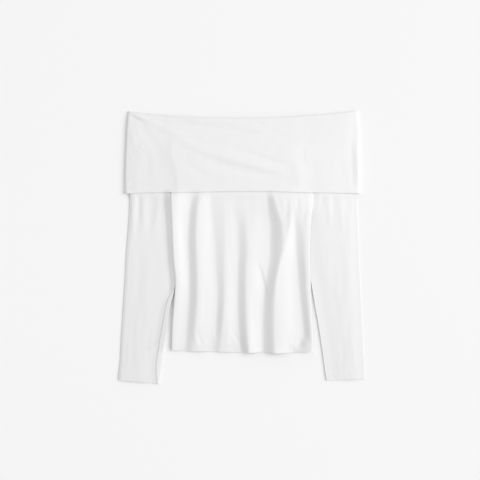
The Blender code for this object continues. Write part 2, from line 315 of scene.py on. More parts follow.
ARMHOLE_X = -137 * MM
ARMHOLE_SLANT = 13 * MM
LEFT_RISE = 34 * MM
LEFT_BEND = 1.9
RIGHT_FOOT = 150 * MM
RIGHT_RISE = 44 * MM
END_RISE = 84 * MM
END_LIFT = 2.9 * MM
BODY_LIFT = 3.2 * MM
NECK_FLATTEN = 0.75
SIDE_LIFT = 2.0 * MM
HEM_PRESS = 1.5 * MM
HEM_SHAPING = 60 * MM


def eased(t):
    """0 to 1 with a soft start and end."""
    t = np.clip(t, 0.0, 1.0)
    return t * t * (3 - 2 * t)


def ramp(at, start, over):
    """0 up to the start, and 1 once the distance over is passed too. Both are in millimetres."""
    return eased((at - start * MM) / (over * MM))


def curve(keys, values, at):
    """A smooth curve through the values at the rising keys, level past both ends."""
    keys = np.array(keys, float)
    values = np.array(values, float)
    order = np.argsort(keys)
    keys = keys[order]
    values = values[order]
    at = np.clip(at, keys[0], keys[-1])
    slopes = np.empty(len(keys))
    slopes[1:-1] = (values[2:] - values[:-2]) / (keys[2:] - keys[:-2])
    slopes[0] = (values[1] - values[0]) / (keys[1] - keys[0])
    slopes[-1] = (values[-1] - values[-2]) / (keys[-1] - keys[-2])
    i = np.clip(np.searchsorted(keys, at) - 1, 0, len(keys) - 2)
    span = keys[i + 1] - keys[i]
    t = (at - keys[i]) / span
    a = slopes[i] * span
    b = slopes[i + 1] * span
    rise = values[i + 1] - values[i]
    return values[i] + t * (a + t * (3 * rise - 2 * a - b + t * (a + b - 2 * rise)))


def column(table, name, at, key="y"):
    """A named column of a table in millimetres, read as a smooth curve along another column."""
    keys = [getattr(row, key) * MM for row in table]
    return curve(keys, [getattr(row, name) * MM for row in table], at)


def neck_y(x):
    return NECK_Y + NECK_CORNER_RISE * (x / BAND_HALF_WIDTH) ** 2


def on_band(y):
    """How high the back of the band lifts the layers that lie on it."""
    return BAND_STEP * ramp(y, *BAND_BACK)


def plateau(x, y):
    """The rise of the band and of the layers under it, over the body and less over the sleeves.

    On the left it rises slowly and stops sharply, over the armhole seam, which slants."""
    seam = ARMHOLE_X - ARMHOLE_SLANT * ramp(y, *ARMHOLE_RUN)
    up_left = np.clip((x - seam + LEFT_RISE) / LEFT_RISE, 0, 1) ** LEFT_BEND
    body = up_left * eased((RIGHT_FOOT - x) / RIGHT_RISE)
    ends = eased((BAND_HALF_WIDTH - SIDE_TURN - abs(x)) / END_RISE)
    up_neck = 1 - NECK_FLATTEN * ramp(y, *NECK_START)
    return (END_LIFT * ends + BODY_LIFT * body) * ramp(y, *PLATEAU_START) * up_neck


def below_band(y):
    """1 down the garment, and dying out under the band's lower edge."""
    return 1 - ramp(y, *DETAIL_END)


def into_band(y):
    """How much of the body's folds is left at a height: they die out just inside the band."""
    return 1 - ramp(y, *FOLDS_END)


def body_folds(x, y):
    """Height of the body's folds over flat cloth."""
    shapes = []
    for fold in FOLDS:
        middle = column(fold, "flank", y)
        wide = column(fold, "wide", y)
        low, rise, flat = (column(fold, part, y) for part in ("low", "rise", "flat"))
        shapes.append((middle - wide / 2, middle + wide / 2, low, low + rise, flat))
    height = np.zeros_like(x)
    for i, (foot, crest, low, high, flat) in enumerate(shapes):
        last = i + 1 == len(shapes)
        next_foot = crest + LAST_FALL if last else shapes[i + 1][0]
        next_low = 0 if last else shapes[i + 1][2]
        up = np.clip((x - foot) / (crest - foot), 0, 1)
        up = FLANK_STRAIGHT * up + FLANK_ROUND * (1 - np.cos(math.pi * up)) / 2
        brink = np.minimum(crest + flat, next_foot - SHORTEST_FALL)
        fall = (1 + np.cos(math.pi * np.clip((x - brink) / (next_foot - brink), 0, 1))) / 2
        height = np.where((x > foot) & (x <= crest), low + (high - low) * up, height)
        height = np.where((x > crest) & (x < next_foot), next_low + (high - next_low) * fall, height)
    return height * into_band(y)


# A crease is a soft ridge, or a trough where its rise is negative, along a run of points that goes
# down or to the right. Its right or upper side is as wide as wide says, and its other side steep
# times that. It dies out at both ends.
Crease = namedtuple("Crease", "points wide rise steep", defaults=(1.0,))
CREASE_END = 0.75


def creased(creases, x, y):
    """Height of a list of creases at each point."""
    height = np.zeros_like(x)
    for crease in creases:
        run = np.array(crease.points, float) * MM
        legs = np.linalg.norm(np.diff(run, axis=0), axis=1)
        passed = np.concatenate([[0.0], np.cumsum(legs)])
        nearest = np.full_like(x, np.inf)
        along = np.zeros_like(x)
        wide = np.ones_like(x)
        for start, end, leg, before in zip(run[:-1], run[1:], legs, passed):
            way = (end - start) / leg
            from_x = x - start[0]
            from_y = y - start[1]
            share = np.clip(from_x * way[0] + from_y * way[1], 0, leg)
            away = np.hypot(from_x - share * way[0], from_y - share * way[1])
            beside = way[0] * from_y - way[1] * from_x
            closer = away < nearest
            along = np.where(closer, before + share, along)
            wide = np.where(closer, np.where(beside > 0, 1.0, crease.steep), wide)
            nearest = np.minimum(nearest, away)
        ends = np.sin(math.pi * np.clip(along / passed[-1], 0, 1)) ** CREASE_END
        across = np.clip(nearest / (crease.wide * MM * wide), 0, 1)
        height += crease.rise * MM * ends * (1 + np.cos(math.pi * across)) / 2
    return height


BODY_CREASES = (
    Crease(((104, 30), (90, -5), (82, -30), (74, -65), (70, -120)), 11, 0.9),
    Crease(((-23, 112), (-25, 60), (-22, 0), (-14, -60)), 12, 0.5, 0.6),
    Crease(((34, -28), (41, -49), (47.5, -75), (53, -98), (57, -112)), 4.5, -1.8, 4.5),
    Crease(((95, 104), (96, 84), (97, 60)), 8, -1.0),
    Crease(((118, 110), (121, 92), (121, 76)), 7, -1.1),
    Crease(((107, 96), (106, 70), (103, 30)), 10, 0.9),
    Crease(((-76, 112), (-74, 60), (-78, 0)), 13, 0.6),
    Crease(((-22, 100), (-24, 40), (-20, -30)), 14, -0.5),
    Crease(((28, 116), (31, 70), (30, 20)), 13, 0.3),
    Crease(((-128, 100), (-126, 30), (-124, -60)), 9, -0.5),
    Crease(((-136, 60), (-133, -10), (-131, -90)), 8, 0.5),
    Crease(((-80, -60), (-78, -120), (-84, -190)), 10, -0.5),
    Crease(((96, -40), (98, -110), (95, -190)), 14, 0.6),
    Crease(((24, -100), (26, -160), (30, -220)), 9, -0.6),
    Crease(((-26, -150), (-30, -190), (-34, -222)), 8, 0.5),
    Crease(((-104, -182), (-96, -204), (-86, -220)), 6, 0.6, 0.7),
    Crease(((-96, -172), (-90, -196), (-84, -212)), 5, -0.6),
    Crease(((-64, -176), (-58, -198), (-60, -222)), 6, 0.5, 0.6),
    Crease(((-32, -178), (-20, -196), (-12, -214)), 6, 0.6, 0.6),
    Crease(((-18, -182), (-8, -200), (2, -218)), 5, -0.9),
    Crease(((-8, -176), (4, -192), (14, -212)), 5, 0.6, 0.5),
    Crease(((-30, -206), (-20, -210), (-10, -222)), 4, 0.6),
    Crease(((104, -202), (112, -210), (118, -222)), 5, 0.7),
    Crease(((118, -196), (126, -206), (132, -220)), 5, -0.7),
    Crease(((130, -192), (138, -204), (144, -220)), 5, 0.7),
    Crease(((96, -206), (102, -214), (104, -224)), 4, -0.5),
    Crease(((80, 118), (92, 92), (101, 58)), 9, 0.6, 0.8),
    Crease(((118, 92), (128, 80), (136, 66)), 8, 0.5, 0.8),
)
HEM_DEPTH = 20 * MM
HEM_PLY = 0.35 * MM
PLY_EDGE = 2 * MM
HEM_PUCKER = 0.16 * MM
BODY_UNEVEN = 0.16 * MM


def hem_y(x):
    return column(HEM, "y", x, key="x")


def swaying(at, length, sway, sway_length):
    """A wave whose crests sway to and fro, with both lengths in millimetres a radian."""
    return np.sin(at / (length * MM) + sway * np.sin(at / (sway_length * MM)))


def ripples(x, y):
    """Small uneven puckers that the hem's stitching pulls into the cloth."""
    up = (y - hem_y(x)) / HEM_DEPTH
    depth = eased(1.9 - up) * eased(up + 0.35)
    wave = swaying(x, 3.1, 2.4, 17) + 0.8 * np.sin(x / (7.3 * MM) + 1.3)
    return HEM_PUCKER * wave * depth


def unevenness(x, y, size):
    """The faint unevenness of cloth that has hung and been laid down, longer along the garment."""
    across = np.sin(x / (6.1 * MM) + 1.7 * np.sin(y / (41 * MM)))
    across = across * np.sin(y / (67 * MM) + x / (23 * MM))
    broad = np.sin(x / (13.7 * MM) - y / (90 * MM) + 0.6) * np.cos(y / (37 * MM) + x / (31 * MM))
    return size * (0.45 * across + 0.55 * broad)


def side_lift(x, y):
    """The right side of the body lies up on the sleeve's inner edge, which is tucked under it."""
    right = column(BODY_SIDES, "right", y)
    beside = ramp(y, *TUCK_START) * (1 - ramp(y, *TUCK_END))
    return SIDE_LIFT * ramp(x - right, *TUCK_EDGE) * beside


def hem_press(y):
    """The layers lie closer together at the hem."""
    return HEM_PRESS * (1 - ramp(y, *HEM_RUN))


def front_z(x, y):
    """The outside of the front panel."""
    hem = HEM_PLY * (1 - eased((y - hem_y(x) - HEM_DEPTH) / PLY_EDGE))
    fine = creased(BODY_CREASES, x, y) + unevenness(x, y, BODY_UNEVEN)
    layers = LAYERS - hem_press(y) + plateau(x, y) + side_lift(x, y)
    return on_band(y) + layers + body_folds(x, y) + fine * below_band(y) + hem + ripples(x, y)


def back_z(x, y):
    """The outside of the back panel, which follows the front's folds from below, less deeply."""
    return on_band(y) + BACK_FOLD_SHARE * body_folds(x, y) + side_lift(x, y)


def cut_cloth(name, across, along):
    """A flat grid of cloth, and how far across and along the piece each of its points lies, 0 to 1."""
    bpy.ops.object.select_all(action="DESELECT")
    bpy.ops.mesh.primitive_grid_add(x_subdivisions=across, y_subdivisions=along, size=1)
    piece = bpy.context.object
    piece.name = name
    piece.data.name = name
    flat = np.empty(len(piece.data.vertices) * 3)
    piece.data.vertices.foreach_get("co", flat)
    flat = flat.reshape(-1, 3)
    return piece, flat[:, 0] + 0.5, flat[:, 1] + 0.5


def lay(piece, x, y, z):
    """Moves the cloth's points to where they lie."""
    piece.data.vertices.foreach_set("co", np.stack([x, y, z], axis=1).ravel())
    piece.data.update()


def size_weave(piece, width, length):
    """Gives the cloth's own map its cut size, so that the knit has its real scale on it."""
    layer = piece.data.uv_layers.active
    spots = np.empty(len(layer.data) * 2)
    layer.data.foreach_get("uv", spots)
    spots = spots.reshape(-1, 2) * (width, length)
    layer.data.foreach_set("uv", spots.ravel())


def finish_cloth(piece, wall, edge, flip=False):
    """The wall's thickness, on the inside, and its rounded cut or folded edges.

    The wall is not evened out in tight folds, because that would throw its inside far off."""
    bpy.ops.object.mode_set(mode="EDIT")
    bpy.ops.mesh.select_all(action="SELECT")
    bpy.ops.mesh.remove_doubles(threshold=0.01 * MM)
    if flip:
        bpy.ops.mesh.flip_normals()
    bpy.ops.object.mode_set(mode="OBJECT")
    shell = piece.modifiers.new("wall", "SOLIDIFY")
    shell.thickness = wall
    shell.offset = -1
    shell.use_even_offset = False
    bpy.ops.object.modifier_apply(modifier=shell.name)
    rounding = piece.modifiers.new("edge", "BEVEL")
    rounding.width = edge
    rounding.segments = 2
    rounding.limit_method = "ANGLE"
    rounding.angle_limit = math.radians(60)
    bpy.ops.object.modifier_apply(modifier=rounding.name)
    bpy.ops.object.shade_smooth_by_angle(angle=math.radians(45))
    piece.data.materials.clear()
    piece.data.materials.append(jersey)


# The jersey is a fine rib knit: upright wales 1.2 mm apart, each a column of small V stitches, in a
# soft white yarn with a dull sheen. Some wales are a little tighter, which shows as faint streaks.
# The cloth is painted a shade greyer towards the hem: painted shade for the light, which falls off
# low on the garment. It is also painted a touch darker between the wales: painted shade in the
# grooves.
WALE = 1.2 * MM
COURSE = 0.95 * MM
YARN_WHITE = (0.862, 0.862, 0.862, 1)
YARN_SHADE = (0.800, 0.800, 0.800, 1)
STREAK_SCALE = (260, 9, 1)
CRINKLE_SCALE = (130, 48, 1)
FUZZ_SCALE = 900.0
PAINTED_LIGHT_SPAN = (-0.28, 0.12)
TONE_SPAN = (0.1, 0.9)
BUMP_DEPTH = 0.25 * MM
BUMP_STRENGTH = 0.35

knit = Finish(
    "white_rib_jersey",
    Roughness=0.9,
    Specular_IOR_Level=0.2,
    Sheen_Weight=0.12,
    Sheen_Roughness=0.6,
)
cloth_map = knit.add("ShaderNodeTexCoord", {}, out=2)
across_cloth = knit.add("ShaderNodeSeparateXYZ", {}, cloth_map)
along_cloth = knit.add("ShaderNodeSeparateXYZ", {}, cloth_map, out=1)
wale = (across_cloth * (1 / WALE)).math("FRACT") - 0.5
leg = wale.math("ABSOLUTE")
stitch = (along_cloth * (1 / COURSE) + leg * 1.1).math("FRACT") - 0.5
loop = 1 - stitch.math("ABSOLUTE") * 2
rib = 1 - leg * 2
height = rib.math("POWER", 0.6) * 0.7 + loop.math("POWER", 0.7) * rib * 0.3


def drawn_out(scale, **kind):
    """Noise on the cloth's own map, whose scale differs across and along the cloth."""
    spread = knit.add("ShaderNodeMapping", {}, cloth_map, Scale=scale)
    return knit.add("ShaderNodeTexNoise", {}, Vector=spread, Scale=1.0, **kind)


streaks = drawn_out(STREAK_SCALE, Detail=3.0, Roughness=0.6)
fuzz = knit.add("ShaderNodeTexNoise", {}, Vector=cloth_map, Scale=FUZZ_SCALE, Detail=2.0)
crinkle = drawn_out(CRINKLE_SCALE, Detail=4.0, Roughness=0.55)
surface = height * 0.8 + streaks * 0.7 + crinkle * 2.2 + fuzz * 0.25
relief = {"Strength": BUMP_STRENGTH, "Distance": BUMP_DEPTH}
knit.feed("Normal", knit.add("ShaderNodeBump", {}, **relief, Height=surface))
garment_place = knit.add("ShaderNodeTexCoord", {}, out=3)
up_garment = knit.add("ShaderNodeSeparateXYZ", {}, garment_place, out=1)
# Painted shade: the cloth is painted lighter towards the top of the garment and greyer towards the
# hem, as the light falls off downwards.
painted_light_up = knit.add("ShaderNodeMapRange", {}, up_garment, *PAINTED_LIGHT_SPAN)
# The rib term paints the cloth a touch darker between the wales, as painted shade in the grooves.
# Streaks and fuzz vary the tone at random.
shades = streaks * 0.25 + rib * 0.1 + fuzz * 0.1 + painted_light_up * 0.55
tone = knit.add("ShaderNodeMapRange", {}, shades, *TONE_SPAN)
knit.feed("Base Color", knit.mix(tone, YARN_SHADE, YARN_WHITE))
knit.feed("Roughness", 0.86 + fuzz * 0.1)
jersey = knit.material


def body_panel(name, height, facing):
    """The front or the back: facing is 1 for the front, whose outside is up, and -1 for the back."""
    piece, across, along = cut_cloth(name, BODY_ACROSS, BODY_ALONG)
    level = HEM_LEVEL + (BODY_TOP_Y - HEM_LEVEL) * along
    left = column(BODY_SIDES, "left", level) + SIDE_TURN
    right = column(BODY_SIDES, "right", level) - SIDE_TURN
    count = across * BODY_ACROSS
    inner = np.clip((count - TURN_COLUMNS) / (BODY_ACROSS - 2 * TURN_COLUMNS), 0, 1)
    x = left + (right - left) * inner
    near_hem = 1 - eased((level - HEM_LEVEL) / HEM_SHAPING)
    near_neck = ramp(level, *NECK_SHAPING)
    y = level + (hem_y(x) - HEM_LEVEL) * near_hem
    y = y + (neck_y(x) - TURN_DEPTH - SEAM_GAP - BODY_TOP_Y) * near_neck
    z = height(x, y)
    turned = np.maximum(TURN_COLUMNS - count, count - BODY_ACROSS + TURN_COLUMNS) / TURN_COLUMNS
    angle = math.pi / 2 * np.clip(turned, 0, 1)
    way = np.where(count < BODY_ACROSS / 2, -1, 1)
    drop = (front_z(x, y) - back_z(x, y) - SEAM_GAP) / 2 * (1 - ramp(level, *SIDES_OPEN))
    roll = np.sin(np.minimum(EDGE_ROLL * angle, math.pi / 2))
    x = x + way * SIDE_TURN * roll * np.where(turned > 0, 1, 0)
    z = z - facing * drop * (1 - np.cos(angle))
    lay(piece, x, y, z)
    return piece


FRONT_CUT = (332 * MM, 512 * MM)
front = body_panel("front_panel", front_z, 1)
size_weave(front, *FRONT_CUT)
finish_cloth(front, BODY_WALL, CLOTH_EDGE)
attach(front, "root")
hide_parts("front")

# Back
# The back panel is cut like the front and lies under it, face down on the floor, in lower folds.
# Only its edges show, at the side seams and the hem.
BACK_CUT = (326 * MM, 512 * MM)
back = body_panel("back_panel", back_z, -1)
size_weave(back, *BACK_CUT)
finish_cloth(back, BODY_WALL, CLOTH_EDGE, flip=True)
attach(back, "root")
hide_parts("back")

# Sleeves
# Each sleeve is one piece of the same jersey, folded into a long slim tube that lies flat, with an
# 18 mm turned and coverstitched cuff. Under the band a few soft gathers run down from the armhole.
SLEEVE_WALL = 0.9 * MM
SLEEVE_TURN = 0.9 * MM
INNER_TURN = 0.6 * MM
SLEEVE_UPPER = 60
SLEEVE_LOWER = 20
SLEEVE_EDGE = 6
SLEEVE_ALONG = 250
CUFF_DEPTH = 18 * MM
PRESSED = 1.95 * MM
OUTER_PRESSED = 2.2 * MM
LEFT_OUTER_SOFT = 6 * MM
RIGHT_OUTER_SOFT = 22 * MM

Station = namedtuple("Station", "level out_x out_y in_x in_y")
LEFT_SLEEVE = (
    Station(0, -264.5, -285.5, -177.5, -293.3),
    Station(20, -263.4, -267.0, -174.0, -273.0),
    Station(49, -260.7, -241.0, -170.0, -244.0),
    Station(65, -260.0, -226.0, -168.2, -228.5),
    Station(80, -259.3, -212.0, -166.6, -213.0),
    Station(109, -257.6, -184.0, -161.8, -184.0),
    Station(137, -255.8, -156.0, -158.8, -156.5),
    Station(169, -253.8, -124.0, -152.5, -124.0),
    Station(201, -251.8, -92.0, -144.0, -92.0),
    Station(223, -250.3, -70.5, -142.8, -70.5),
    Station(265, -248.4, -28.0, -147.1, -28.0),
    Station(293, -246.5, 0.0, -148.6, 0.0),
    Station(346, -242.5, 53.0, -150.6, 53.0),
    Station(393, -240.2, 100.0, -151.6, 100.0),
    Station(407, -240.0, 114.0, -151.8, 114.0),
    Station(419, -239.9, 126.0, -152.0, 126.0),
    Station(426, -239.7, 133.0, -142.2, 133.0),
    Station(439, -239.3, 146.0, -138.0, 146.0),
    Station(493, -238.1, 200.0, -138.6, 200.0),
    Station(559, -236.5, 266.0, -140.0, 266.0),
)
RIGHT_SLEEVE = (
    Station(0, 264.5, -282.5, 182.5, -286.2),
    Station(18, 263.8, -265.0, 179.5, -268.0),
    Station(66, 261.6, -217.0, 172.5, -217.0),
    Station(125, 259.1, -158.0, 164.0, -162.0),
    Station(187, 256.0, -96.0, 154.0, -105.0),
    Station(233, 254.1, -50.0, 148.0, -60.0),
    Station(263, 253.0, -20.0, 146.4, -20.0),
    Station(336, 250.0, 53.0, 149.0, 53.0),
    Station(383, 248.7, 100.0, 151.8, 100.0),
    Station(397, 248.5, 114.0, 153.0, 114.0),
    Station(409, 248.4, 126.0, 154.0, 126.0),
    Station(416, 248.1, 133.0, 139.0, 133.0),
    Station(429, 247.7, 146.0, 130.0, 146.0),
    Station(483, 245.9, 200.0, 133.8, 200.0),
    Station(549, 243.2, 266.0, 137.5, 266.0),
)
# The inner edge of a sleeve. Where it has a lip, the cloth beside the seam rolls up in a narrow strip
# that starts at the base height and may droop towards its edge, and the upper layer stands up in a
# curl next to it. The upper layer is pressed down over the soft distance. The edge tucks under the
# body's side.
Inner = namedtuple("Inner", "y lip curl soft tuck base droop", defaults=(4.1, 0))
LEFT_INNER = (
    Inner(-290, 4.5, 0.9, 40, 0, 2.2, 2.6),
    Inner(-277, 8.0, 0.9, 40, 0, 2.2, 3.0),
    Inner(-264, 11.0, 1.0, 40, 0, 2.2, 3.2),
    Inner(-247, 12.0, 1.1, 40, 0, 2.2, 3.2),
    Inner(-230, 12.0, 1.2, 34, 0, 2.3, 3.0),
    Inner(-222, 11.5, 1.3, 16, 0, 2.6, 1.8),
    Inner(-212, 10.6, 1.5, 2, 0, 3.6, 0.2),
    Inner(-200, 10.7, 1.6, 0.6, 0),
    Inner(-178, 10.2, 1.6, 0.6, 0),
    Inner(-156, 8.8, 1.7, 0.6, 0),
    Inner(-135, 9.0, 1.7, 0.6, 0),
    Inner(-113, 8.8, 1.6, 0.6, 0),
    Inner(-98, 5.5, 1.2, 0.6, 0.3),
    Inner(-84, 1.0, 0.5, 0.6, 1.6),
    Inner(-70, 0, 0.1, 0.6, 2.4),
    Inner(-50, 0, 0, 0.6, 2.6),
    Inner(104, 0, 0, 0.6, 2.0),
    Inner(118, 0, 0, 4, 0),
    Inner(126, 0, 0, 10, 0),
)
RIGHT_INNER = (
    Inner(-290, 0, 0.7, 60, 0),
    Inner(-120, 0, 0.9, 60, 0),
    Inner(-80, 0, 0.8, 50, 0.5),
    Inner(-50, 0, 0.6, 40, 3.0),
    Inner(40, 0, 0.6, 24, 4.0),
    Inner(80, 0, 0.5, 18, 2.5),
    Inner(104, 0, 0.2, 16, 1.5),
    Inner(118, 0, 0, 16, 0.5),
    Inner(126, 0, 0, 20, 0),
)
LIP_RISE = 1.7 * MM
LIP_CURL = 1.5
LIP_SEEN = 0.2 * MM
LEAST_LIP = 1 * MM
LEAST_GATHER = 0.1 * MM
LIP_GATHER = 5 * MM
LEFT_CURL_WIDE = 11 * MM
RIGHT_CURL_WIDE = 20 * MM
CURL_RIM = 2.6 * MM
RIM_SHARE = 0.5
FOLD_SHARE = 0.8
FOLD_START = (-116, 26)
CROWN = 0.8 * MM
CROWN_END = (60, 55)
SLEEVE_UNEVEN = 0.2 * MM
UNEVEN_SHIFT = 71 * MM
CUFF_PUCKER = 0.15 * MM
PUCKER_START = (2, 5)
PUCKER_END = (14, 6)

# Gathers and creases of each sleeve: how far in from its outer edge, and how high up the garment
LEFT_CREASES = (
    Crease(((9, 130), (9, 70), (13, 10)), 9, 1.3),
    Crease(((20, 130), (20, 90), (22, 50)), 6, -0.7),
    Crease(((31, 130), (31, 90), (33, 30)), 10, 1.1),
    Crease(((47, 130), (48, 80), (46, 20)), 10, -0.6),
    Crease(((62, 130), (63, 90), (60, 40)), 11, 0.8),
    Crease(((26, 10), (30, -60), (24, -140)), 13, -0.5),
    Crease(((50, -20), (46, -100), (52, -180)), 15, 0.5),
    Crease(((36, -120), (33, -180), (36, -250)), 9, 0.4),
    Crease(((60, -170), (57, -215), (63, -262)), 9, -0.5),
    Crease(((16, -190), (18, -230), (15, -268)), 8, 0.5),
)
RIGHT_CREASES = (
    Crease(((19, 130), (20, 95), (18, 60)), 9, -0.5),
    Crease(((36, 130), (36, 85), (33, 30)), 10, 0.75),
    Crease(((52, 130), (51, 100), (52, 66)), 8, -0.55),
    Crease(((62, 130), (62, 90), (60, 40)), 9, 0.75),
    Crease(((74, 130), (75, 100), (78, 72)), 8, -0.5),
    Crease(((30, 20), (26, -60), (32, -150)), 14, 0.5),
    Crease(((56, -10), (60, -90), (52, -170)), 13, -0.5),
    Crease(((22, -140), (26, -200), (20, -262)), 10, 0.5),
    Crease(((48, -190), (44, -230), (50, -268)), 9, -0.5),
)


def sleeve_height(x, y, share, inset, creases, inner, from_inner):
    """The outside of a sleeve's upper layer."""
    crown = CROWN * np.sin(math.pi * share) * (1 - ramp(y, *CROWN_END))
    fine = creased(creases, inset, y) + unevenness(x + UNEVEN_SHIFT, y, SLEEVE_UNEVEN)
    shape = ("lip", "curl", "soft", "base", "droop")
    lip, curl, soft, base, droop = (column(inner, part, y) for part in shape)
    past_lip = from_inner - lip
    outer_soft = np.where(x < 0, LEFT_OUTER_SOFT, RIGHT_OUTER_SOFT)
    up_outer = OUTER_PRESSED + (LAYERS - OUTER_PRESSED) * eased(inset / outer_soft)
    up_inner = PRESSED + (LAYERS - PRESSED) * eased(past_lip / np.maximum(soft, INNER_TURN))
    up = np.minimum(up_outer, up_inner)
    puffed = np.clip((up - PRESSED) / (LAYERS - PRESSED), 0, 1)
    curl_wide = np.where(x < 0, LEFT_CURL_WIDE, RIGHT_CURL_WIDE)
    standing = 1 - eased(past_lip / curl_wide) + RIM_SHARE * (1 - eased(past_lip / CURL_RIM))
    joined = FOLD_SHARE * ramp(y, *FOLD_START)
    up = up + curl * standing + np.where(x < 0, body_folds(x, y), 0) * joined
    outwards = 1 - from_inner / np.maximum(lip, LEAST_LIP)
    beside = base + LIP_CURL * curl + LIP_RISE * outwards - droop * outwards**2
    under = (past_lip < 0) & (lip > LIP_SEEN)
    up = np.where(under, beside, up)
    fine = np.where(under, 0, fine * puffed)
    return on_band(y) + up + plateau(x, y) + crown * puffed + fine * below_band(y)


# How a flat cut is wrapped into a tube, for each point of it. It runs over the upper layer, turns
# down round the far edge, runs back under and turns up round the near edge to close. The share is
# how far across the tube the point lies, the turns are 0 to pi, and the reach is how far the point
# bulges out round the far edge, or with a minus round the near one.
Wrapped = namedtuple("Wrapped", "share above far_turn closing near_turn reach")


def wrapped(wrap, upper, lower, edge):
    """The wrapping of a tube with so many steps over each layer and round each edge."""
    step = wrap * (upper + lower + 2 * edge)
    lower_start = upper + edge
    lower_end = lower_start + lower
    above = step <= upper
    closing = step > lower_end
    on_upper = np.clip(step / upper, 0, 1)
    on_lower = 1 - np.clip((step - lower_start) / lower, 0, 1)
    far_turn = math.pi * np.clip((step - upper) / edge, 0, 1)
    near_turn = math.pi * np.clip((step - lower_end) / edge, 0, 1)
    reach = np.where(step <= lower_start, np.sin(far_turn), 0.0)
    reach = np.where(closing, -np.sin(near_turn), reach)
    return Wrapped(np.where(above, on_upper, on_lower), above, far_turn, closing, near_turn, reach)


def layered(tube, top, bottom):
    """The height of a tube's points, on its upper or lower layer or round its edges."""
    down = top + (bottom - top) * (1 - np.cos(tube.far_turn)) / 2
    back_up = bottom + (top - bottom) * (1 - np.cos(tube.near_turn)) / 2
    return np.where(tube.closing, back_up, down)


def sleeve(name, stations, creases, inner, outward, cut):
    """A flattened tube from cuff to neck, made from a flat cut that is wrapped round and joined."""
    around = SLEEVE_UPPER + SLEEVE_LOWER + 2 * SLEEVE_EDGE
    piece, wrap, along = cut_cloth(name, around, SLEEVE_ALONG)
    tube = wrapped(wrap, SLEEVE_UPPER, SLEEVE_LOWER, SLEEVE_EDGE)
    level = along * stations[-1].level * MM
    out_x, out_y, in_x, in_y = (
        column(stations, part, level, key="level") for part in ("out_x", "out_y", "in_x", "in_y")
    )
    in_x = in_x - outward * column(inner, "tuck", in_y)
    first = in_x + outward * INNER_TURN
    last = out_x - outward * SLEEVE_TURN
    turn = np.where(tube.closing, INNER_TURN, SLEEVE_TURN)
    x = first + (last - first) * tube.share
    whole = (x - in_x) / (out_x - in_x)
    y = in_y + (out_y - in_y) * whole
    y = np.minimum(y, neck_y(x) - TURN_DEPTH - SEAM_GAP)
    inset = abs(out_x - in_x) * (1 - whole)
    from_inner = abs(out_x - in_x) * whole
    lip = column(inner, "lip", y)
    past_lip = from_inner - lip
    gathered = past_lip * (1 - eased(abs(past_lip) / np.clip(lip, LEAST_GATHER, LIP_GATHER)))
    gathered = np.where(tube.above, gathered, 0)
    cuff = HEM_PLY * (1 - eased((level - CUFF_DEPTH) / PLY_EDGE))
    pulled = ramp(level, *PUCKER_START) * (1 - ramp(level, *PUCKER_END))
    pucker = swaying(x, 1.3, 2.6, 4.1) + 0.7 * np.sin(x / (2.9 * MM) + y / (2.2 * MM))
    cuff = cuff + CUFF_PUCKER * pulled * pucker
    top = sleeve_height(x, y, tube.share, inset, creases, inner, from_inner) + cuff
    z = layered(tube, top, on_band(y))
    lay(piece, x + outward * (turn * tube.reach - gathered), y, z)
    size_weave(piece, *cut)
    finish_cloth(piece, SLEEVE_WALL, CLOTH_EDGE, flip=outward < 0)
    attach(piece, "root")
    return piece


LEFT_CUT = (196 * MM, 562 * MM)
RIGHT_CUT = (200 * MM, 552 * MM)
sleeve_left = sleeve("sleeve_left_tube", LEFT_SLEEVE, LEFT_CREASES, LEFT_INNER, -1, LEFT_CUT)
sleeve_right = sleeve("sleeve_right_tube", RIGHT_SLEEVE, RIGHT_CREASES, RIGHT_INNER, 1, RIGHT_CUT)
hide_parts("sleeve_left")
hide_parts("sleeve_right")

# Band
# The band is one doubled strip of jersey, sewn into a ring and to the neckline, and turned down
# over the body and both sleeves. Its lower edge is a soft fold with no stitching.
BAND_WALL = 1.6 * MM
BAND_EDGE_Y = 119.4 * MM
BAND_EDGE_DROP = 4.6 * MM
BAND_HEIGHT = BAND_STEP + LAYERS + BAND_STEP
BAND_TURN = 1.2 * MM
BAND_UPPER = 190
BAND_LOWER = 40
BAND_SIDE = 6
OUTER_ROWS = 110
FOLD_ROWS = 8
INNER_ROWS = 4

